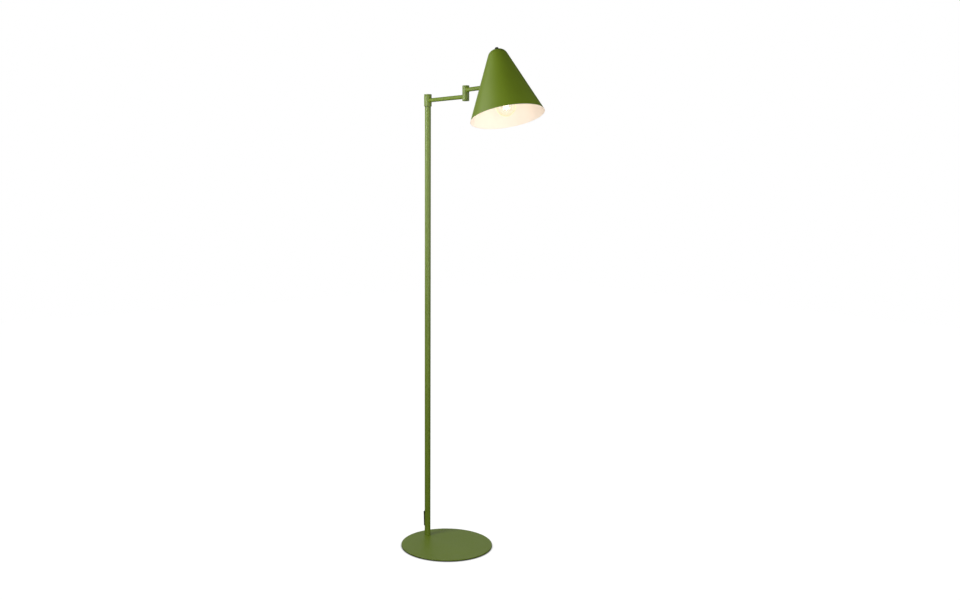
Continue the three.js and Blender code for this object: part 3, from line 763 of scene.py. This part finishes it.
def tilt_barrel():
    """The hollow barrel at the second arm's end, with the slot its lead leaves through."""
    slot_half = 3
    slot_from = radians(-66)
    slot_to = radians(78)
    reach = 2 * KNUCKLE_RADIUS
    sweep = arc(0, 0, reach, slot_from, slot_to, 8)
    bm = bmesh.new()
    turn = Matrix.Rotation(pi / 2, 4, "X")
    add_prism(bm, [(0, 0), *sweep], -slot_half, slot_half, turn)
    slot = finished_mesh("slot", bm)
    body = solid_rod("body", KNUCKLE_RADIUS, -KNUCKLE_HALF, KNUCKLE_HALF, 72, ALONG_Y)
    cavity = solid_rod("cavity", 5.5, -4.5, 4.5, 48, ALONG_Y)
    screws = solid_rod("screws", 2.5, -reach, reach, 32, ALONG_Y)
    mesh = carved("tilt_barrel_fine", body, cavity, screws, slot)
    at_end = ARM2 @ moved(ARM2_LENGTH, 0, ARM2_HEIGHT)
    stand_in("tilt_barrel", mesh, at_end, "green_paint", green)


def tilt_yoke():
    """A fork with two round-ended cheeks, and the hollow stud that goes into the shade."""
    base_inner = KNUCKLE_RADIUS + 0.9
    base_outer = base_inner + 4.6
    outline = [
        (base_outer, -KNUCKLE_RADIUS),
        (base_outer, KNUCKLE_RADIUS),
        *arc(0, 0, KNUCKLE_RADIUS, pi / 2, 3 * pi / 2, 28),
    ]
    turn = Matrix.Rotation(pi / 2, 4, "X")
    bm = bmesh.new()
    add_prism(bm, outline, -CHEEK_OUTER, CHEEK_OUTER, turn)
    body = finished_mesh("body", bm)
    bm = bmesh.new()
    gap = [(-20, -20), (base_inner, -20), (base_inner, 20), (-20, 20)]
    add_prism(bm, gap, -CHEEK_INNER, CHEEK_INNER, turn)
    throat = finished_mesh("throat", bm)
    screws = solid_rod("screws", 2.7, -2 * CHEEK_OUTER, 2 * CHEEK_OUTER, 32, ALONG_Y)
    way = solid_rod("way", 3.4, 0, 2 * base_outer, 32, ALONG_X)
    mesh = carved("tilt_yoke_fine", body, throat, screws, way)
    stand_in("tilt_yoke", mesh, YOKE, "green_paint", green)
    stud_profile = tube_profile(3.4, STUD_RADIUS, base_outer - 2, WALL_DISTANCE + 11)
    stud = turned_mesh("yoke_stud_fine", stud_profile, 40, matrix=ALONG_X)
    made = place("yoke_stud_fine", stud, YOKE, [steel])
    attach(made, BODY_OF["tilt_yoke"])


def tilt_screws():
    head_radius = 4.6
    seat = CHEEK_OUTER + 0.9
    crown = seat + 2.6
    profile = eased(
        [
            (0, 4.8),
            (2.2, 4.8, 0.3),
            (2.2, seat),
            (head_radius, seat, 0.25),
            (head_radius, seat + 1.1, 0.5),
            (head_radius - 1.6, crown, 1.0),
            (0, crown),
        ]
    )
    for node, turn in (("tilt_screw_left", 0), ("tilt_screw_right", pi)):
        head = turned_mesh("head", profile, 48)
        socket = solid_rod("socket", 1.5, crown - 1.4, crown + 1, 6)
        mesh = carved(node + "_fine", head, socket, bevel=0.12)
        mesh.transform(Matrix.Rotation(turn, 4, "Z") @ ALONG_Y)
        stand_in(node, mesh, YOKE, "zinc_steel", steel)
        side = node.replace("screw", "washer")
        along = Matrix.Rotation(turn, 4, "Z") @ ALONG_Y
        low = CHEEK_OUTER + 0.1
        washer(side, 2.5, 5.2, low, low + 0.6, YOKE, "nylon", nylon, along)


def yoke_spacer():
    """A black spacer from the yoke to the shade, its end shaped to the cone."""
    inner = STUD_RADIUS + 0.2
    start = KNUCKLE_RADIUS + 5.8
    end = WALL_DISTANCE - 0.3
    cone_radius = TILT_TO_SHADE / cos(CONE_ANGLE)
    bm = bmesh.new()
    add_turned(bm, tube_profile(inner, 8.5, start, end, 0.5), 64, matrix=ALONG_X)
    for vert in bm.verts:
        if vert.co.x > (start + end) / 2:
            vert.co.x += vert.co.y**2 / (2 * cone_radius)
    mesh = finished_mesh("yoke_spacer_fine", bm)
    stand_in("yoke_spacer", mesh, YOKE, "black_plastic", black)


def hex_nut(node, across, bore, low, high, frame_matrix, along=None):
    """A hexagon nut with chamfered corners."""
    corner = across / 2 / cos(pi / 6)
    prism = solid_rod("prism", corner, low, high, 6)
    way = solid_rod("way", bore, low - 1, high + 1, 40)
    mesh = carved(node + "_fine", prism, way, bevel=0.3)
    if along is not None:
        mesh.transform(along)
    stand_in(node, mesh, frame_matrix, "zinc_steel", steel)


def tilt_joint():
    tilt_barrel()
    tilt_yoke()
    tilt_screws()
    yoke_spacer()
    wall = WALL_DISTANCE + SHADE_WALL + 0.8
    washer("yoke_inner_washer", 5.2, 8, wall, wall + 1, YOKE, "zinc_steel", steel, ALONG_X)
    hex_nut("yoke_nut", 13, 5.2, wall + 1.2, wall + 5, YOKE, ALONG_X)


# ------------------------------------------------------------------ shade


def shell_outline(depth):
    """The shell's skin at a depth under its outside, from above the mouth to the crown."""
    dome_height = SHADE_HEIGHT - DOME_RADIUS
    at_dome = MOUTH_RADIUS - dome_height * tan(CONE_ANGLE)
    offset = at_dome - DOME_RADIUS / cos(CONE_ANGLE)
    radius = DOME_RADIUS - depth
    mouth = MOUTH_RADIUS - depth / cos(CONE_ANGLE)
    wall = [(mouth - h * tan(CONE_ANGLE), h) for h in (1, 20, 60, 100, 140)]
    dome = arc(offset, dome_height, radius, CONE_ANGLE, pi / 2, 20)
    return [*wall, *dome, (ROD_RADIUS + 0.3, SHADE_HEIGHT - depth)]


def shade_shell():
    """A thin spun cone with a round crown, olive outside and cream inside."""
    outside = shell_outline(0)
    inside = shell_outline(SHADE_WALL)[::-1]
    half = SHADE_WALL / 2 / cos(CONE_ANGLE)
    middle = MOUTH_RADIUS - half
    lip_height = 0.5
    lip_angles = (0.5, 1.1, pi / 2, 2.04, 2.64)
    lip = [(middle - half * cos(a), lip_height * (1 - sin(a))) for a in lip_angles]
    profile = [*outside, *inside, *lip]
    inner_from = len(outside)
    mesh = turned_mesh("shade_shell_fine", profile, 192, inner_from=inner_from)
    stand_in("shade_shell", mesh, SHADE, "shade_paint", green, cream_painted_glow)


def crown_parts():
    washer(
        "shade_cap_washer", ROD_RADIUS + 0.3, 6.6, SHADE_HEIGHT + 0.1, SHADE_HEIGHT + 0.8,
        SHADE, "black_plastic", black,
    )
    seat = SHADE_HEIGHT + 0.9
    radius = 5.2
    height = 5
    crown = 2
    profile = [
        *eased([(radius - 1, seat), (radius, seat, 0.3), (radius, seat + 1)])[1:-1],
        *arc(radius - crown, seat + height - crown, crown, 0, pi / 2, 10),
        (0, seat + height),
        (0, seat + height - 1.2),
        (ROD_RADIUS + 0.1, seat + height - 1.2),
        (ROD_RADIUS + 0.1, seat),
    ]
    mesh = turned_mesh("shade_cap_nut_fine", profile, 48)
    stand_in("shade_cap_nut", mesh, SHADE, "black_plastic", black)
    washer(
        "rod_inner_washer", ROD_RADIUS + 0.3, 5.4, SHADE_HEIGHT - 2.2, SHADE_HEIGHT - 1.3,
        SHADE, "zinc_steel", steel,
    )
    hex_nut(
        "rod_inner_nut", 8, ROD_RADIUS + 0.1, SHADE_HEIGHT - 6.4, SHADE_HEIGHT - 2.4, SHADE,
    )


def threaded_rod():
    """The rod that carries the lamp holder, with its thread cut as fine rings."""
    low = HOLDER_TOP - 8
    high = SHADE_HEIGHT + 4.4
    pitch = 1.0
    turns = int((high - low) / pitch)
    flanks = []
    for i in range(turns):
        at = low + i * pitch
        flanks += [(ROD_RADIUS - 0.35, at + 0.1), (ROD_RADIUS, at + 0.5)]
    profile = [(0, low), *flanks, (ROD_RADIUS - 0.35, high), (0, high)]
    mesh = turned_mesh("holder_rod_fine", profile, 28)
    stand_in("holder_rod", mesh, SHADE, "zinc_steel", steel)


# ------------------------------------------------------------------ lamp holder and bulb


def holder_cap():
    shoulder = 5
    shoulder_top = HOLDER_TOP - 6
    roof = HOLDER_TOP - 9
    foot = SKIRT_TOP + 0.3
    inner = HOLDER_RADIUS - 2.2
    bore = ROD_RADIUS + 0.1
    neck = [(9, shoulder_top), (8, HOLDER_TOP - 3, 0.8), (7, HOLDER_TOP, 0.6), (4, HOLDER_TOP)]
    profile = [
        (HOLDER_RADIUS, foot),
        *arc(HOLDER_RADIUS - shoulder, shoulder_top - shoulder, shoulder, 0, pi / 2, 10),
        *eased(neck)[1:],
        (bore, HOLDER_TOP),
        (bore, roof),
        (inner - 3, roof),
        (inner, roof - 3),
        (inner, foot),
    ]
    mesh = turned_mesh("holder_cap_fine", profile, 72)
    stand_in("holder_cap", mesh, SHADE, "black_plastic", black)


def holder_skirt():
    profile = eased(
        [
            (HOLDER_RADIUS - 2.6, HOLDER_FOOT, 0.3),
            (HOLDER_RADIUS - 1.2, HOLDER_FOOT, 0.6),
            (HOLDER_RADIUS, HOLDER_FOOT + 3, 1.0),
            (HOLDER_RADIUS, SKIRT_TOP, 0.4),
            (HOLDER_RADIUS - 2.2, SKIRT_TOP, 0.3),
        ]
    )
    mesh = turned_mesh("holder_skirt_fine", profile, 72)
    stand_in("holder_skirt", mesh, SHADE, "black_plastic", black)


def bulb_outline(depth):
    """The envelope's skin at a depth, from its foot round the ball and up the neck."""
    radius = BULB_RADIUS - depth
    leave = radians(38)
    ball = arc(0, BULB_CENTRE, radius, -pi / 2, leave, 28)
    ball[0] = (0, ball[0][1])
    start = Vector(ball[-1])
    first = start + Vector((-sin(leave), cos(leave))) * 11
    neck = BULB_NECK_RADIUS - depth
    second = Vector((neck, BULB_NECK_TOP - 14))
    end = Vector((neck, BULB_NECK_TOP))
    steps = 14
    curve = []
    for i in range(1, steps + 1):
        t = i / steps
        u = 1 - t
        point = u**3 * start + 3 * u * u * t * first + 3 * u * t * t * second + t**3 * end
        curve.append((point.x, point.y))
    return [*ball, *curve]


def bulb_envelope():
    profile = [*bulb_outline(0), *bulb_outline(0.8)[::-1]]
    mesh = turned_mesh("bulb_envelope_fine", profile, 96)
    stand_in("bulb_envelope", mesh, SHADE, "bulb_glass", glass)


def bulb_cap():
    """The screw cap, its thread drawn as rounded waves."""
    pitch = 3.6
    turns = 4
    steps = 8
    middle = 12.95
    wave = 0.25
    waves = []
    for i in range(turns * steps):
        height = BULB_NECK_TOP + 4 + i * pitch / steps
        waves.append((middle - wave * cos(2 * pi * i / steps), height))
    end = BULB_NECK_TOP + 22
    profile = [
        (13.2, BULB_NECK_TOP - 5),
        (12.8, BULB_NECK_TOP + 2),
        *waves,
        (12.7, BULB_NECK_TOP + 18.4),
        (8, end),
        (7.5, end - 0.5),
        (12.2, BULB_NECK_TOP + 18),
        (12.2, BULB_NECK_TOP + 1),
        (12.7, BULB_NECK_TOP - 0.5),
        (12.7, BULB_NECK_TOP - 5),
    ]
    mesh = turned_mesh("bulb_cap_fine", profile, 56)
    stand_in("bulb_cap", mesh, SHADE, "cap_metal", cap_metal)


def bulb_stem():
    profile = eased([(0, 44), (1.6, 44, 0.8), (2.2, 58, 4), (6, 68, 3), (8.5, 76), (0, 76)])
    mesh = turned_mesh("bulb_stem_fine", profile, 48)
    stand_in("bulb_stem", mesh, SHADE, "bulb_glass", stem_glass)


def bulb_filament():
    """One filament carried in a zigzag round the stem's foot."""
    legs = 8
    upper = (5, 40)
    lower = (7.5, 22)
    wire_radius = 0.45
    route = []
    for i in range(legs + 1):
        angle = radians(20 + 320 * i / legs)
        radius, height = lower if i % 2 else upper
        route.append((radius * cos(angle), radius * sin(angle), height))
    bm = bmesh.new()
    add_bent_tube(bm, route, wire_radius, spans=10, sides=12)
    mesh = finished_mesh("bulb_filament_fine", bm)
    stand_in("bulb_filament", mesh, SHADE, "filament", filament_glow)


def shade_lead():
    def across_stud(distance):
        return (
            -TILT_TO_SHADE + distance * cos(CONE_ANGLE),
            0,
            TILT_ABOVE_MOUTH - distance * sin(CONE_ANGLE),
        )

    route = [
        across_stud(2.6),
        across_stud(WALL_DISTANCE),
        across_stud(WALL_DISTANCE + 14),
        (-27, 0, 112),
        (-22, 0, 130),
        (-14.5, 0, 140),
        (-9.5, 0, 133),
        (-9.5, 0, 116),
    ]
    bm = bmesh.new()
    add_bent_tube(bm, route, LEAD_RADIUS, spans=8, sides=20)
    mesh = finished_mesh("shade_lead_fine", bm)
    stand_in("shade_lead", mesh, SHADE, "lead_sheath", sheath)


# ------------------------------------------------------------------ CAD nodes that stay

KEPT_FINISHES = {
    steel: (
        "base_bolt", "pole_foot_insert", "pole_spigot", "collar_lock_nut",
        "elbow_nipple", "elbow_lower_nut", "elbow_upper_nut",
    ),
    nylon: ("collar_lower_washer", "collar_upper_washer"),
    sheath: ("pole_lead", "arm1_lead", "arm2_lead"),
    brass_metal: ("holder_sleeve", "holder_contact", "bulb_contact"),
    porcelain: ("holder_insert",),
}


def finish_kept_nodes():
    for material, nodes in KEPT_FINISHES.items():
        for node in nodes:
            kept = frame["nodes"][node]
            kept.data.materials.clear()
            kept.data.materials.append(material)


# ------------------------------------------------------------------ studio

# name, azimuth, distance, height, target height, size, power
STUDIO_LIGHTS = (
    ("left", -75, 2.0, 1.0, 1.0, 1.0, 6.7),
    ("front_left", -5, 2.0, 1.0, 1.0, 1.0, 9.5),
    ("front", 60, 2.0, 1.0, 1.0, 1.0, 17.9),
    ("right", 95, 2.0, 1.0, 1.0, 1.0, 3.8),
    ("back_right", 130, 2.0, 1.0, 1.0, 1.0, 6.9),
    ("head_left", -45, 1.1, 1.9, 1.35, 0.6, 2.0),
    ("head_high", -10, 1.1, 1.9, 1.35, 0.6, 7.3),
    ("head_front", -7, 1.1, 1.4, 1.25, 0.5, 6.1),
    ("head_right", 120, 1.1, 1.4, 1.25, 0.5, 1.8),
    ("back_gloss", 233, 3.2, 1.9, 0.6, 3.0, 8.9),
)
# Fill for the back, which leaves no highlights.
FILL_LIGHTS = (
    ("back_left", 215, 2.0, 1.1, 1.2, 1.0, 5.0),
    ("back", 250, 2.0, 1.1, 1.2, 1.0, 4.0),
)
BULB_POWER = 0.08
AMBIENT = 0.05


def studio_floor():
    """A large flat floor, seen as white and adding no light to the lamp."""
    half_side = 6
    under_pad = 0.4 * MM
    bm = bmesh.new()
    bmesh.ops.create_grid(bm, x_segments=24, y_segments=24, size=half_side)
    mesh = bpy.data.meshes.new("studio_floor")
    bm.to_mesh(mesh)
    bm.free()
    floor = place("studio_floor", mesh, ROW, [pale_floor()])
    floor.location.z = -under_pad
    floor.visible_diffuse = False
    floor.visible_glossy = False


def studio_world():
    """White behind the object, and a dim even light on it."""
    world = bpy.data.worlds.new("studio")
    world.use_nodes = True
    scene.world = world
    tree = world.node_tree
    tree.nodes.clear()
    seen = tree.nodes.new("ShaderNodeBackground")
    seen.inputs["Color"].default_value = (1, 1, 1, 1)
    seen.inputs["Strength"].default_value = 1.0
    ambient = tree.nodes.new("ShaderNodeBackground")
    ambient.inputs["Color"].default_value = (1.0, 0.99, 0.97, 1)
    ambient.inputs["Strength"].default_value = AMBIENT
    path = tree.nodes.new("ShaderNodeLightPath")
    choose = tree.nodes.new("ShaderNodeMixShader")
    output = tree.nodes.new("ShaderNodeOutputWorld")
    tree.links.new(path.outputs["Is Camera Ray"], choose.inputs["Fac"])
    tree.links.new(ambient.outputs["Background"], choose.inputs[1])
    tree.links.new(seen.outputs["Background"], choose.inputs[2])
    tree.links.new(choose.outputs["Shader"], output.inputs["Surface"])


def soft_light(name, azimuth, distance, height, target_height, size, power, glossy=True):
    """A round soft box at an azimuth round the head, turned to a height on the lamp's axis."""
    light = bpy.data.lights.new(name, "AREA")
    light.shape = "DISK"
    light.size = size
    light.energy = power
    made = bpy.data.objects.new(name, light)
    scene.collection.objects.link(made)
    angle = radians(azimuth)
    made.location = (distance * sin(angle), -distance * cos(angle), height)
    aim = Vector((0, 0, target_height)) - made.location
    made.rotation_euler = aim.to_track_quat("-Z", "Y").to_euler()
    made.visible_camera = False
    made.visible_glossy = glossy


def bulb_light():
    light = bpy.data.lights.new("bulb_light", "POINT")
    light.energy = BULB_POWER
    light.color = (1.0, 0.93, 0.82)
    light.shadow_soft_size = 18 * MM
    made = bpy.data.objects.new("bulb_light", light)
    scene.collection.objects.link(made)
    made.matrix_world = SHADE @ moved(0, 0, BULB_CENTRE)
    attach(made, "shade")


def camera():
    """Stands where the lamp is seen from its front quarter, a little below its head."""
    azimuth = 53.648
    distance = 3.1497
    height = 1.12363
    pitch = 6.678
    yaw = 0.121
    roll = 0.06
    data = bpy.data.cameras.new("camera")
    data.sensor_width = 36
    data.lens = 38.49
    data.shift_x = 0.0522
    made = bpy.data.objects.new("camera", data)
    scene.collection.objects.link(made)
    angle = radians(azimuth)
    stand = POLE.translation + Vector((sin(angle), -cos(angle), 0)) * distance
    turn = (
        Matrix.Rotation(radians(azimuth - yaw), 4, "Z")
        @ Matrix.Rotation(pi / 2 - radians(pitch), 4, "X")
        @ Matrix.Rotation(radians(roll), 4, "Z")
    )
    made.matrix_world = Matrix.Translation((stand.x, stand.y, height)) @ turn
    scene.camera = made


def studio():
    studio_floor()
    studio_world()
    for light in STUDIO_LIGHTS:
        soft_light(*light)
    for light in FILL_LIGHTS:
        soft_light(*light, glossy=False)
    bulb_light()
    camera()
    scene.view_settings.view_transform = "Standard"
    scene.view_settings.look = "None"


# ------------------------------------------------------------------ build


base_plate()
base_pad()
pole_tube()
cord_gland()
first_arm()
second_arm()
tilt_joint()
shade_shell()
crown_parts()
threaded_rod()
holder_cap()
holder_skirt()
bulb_envelope()
bulb_cap()
bulb_stem()
bulb_filament()
shade_lead()
finish_kept_nodes()
studio()
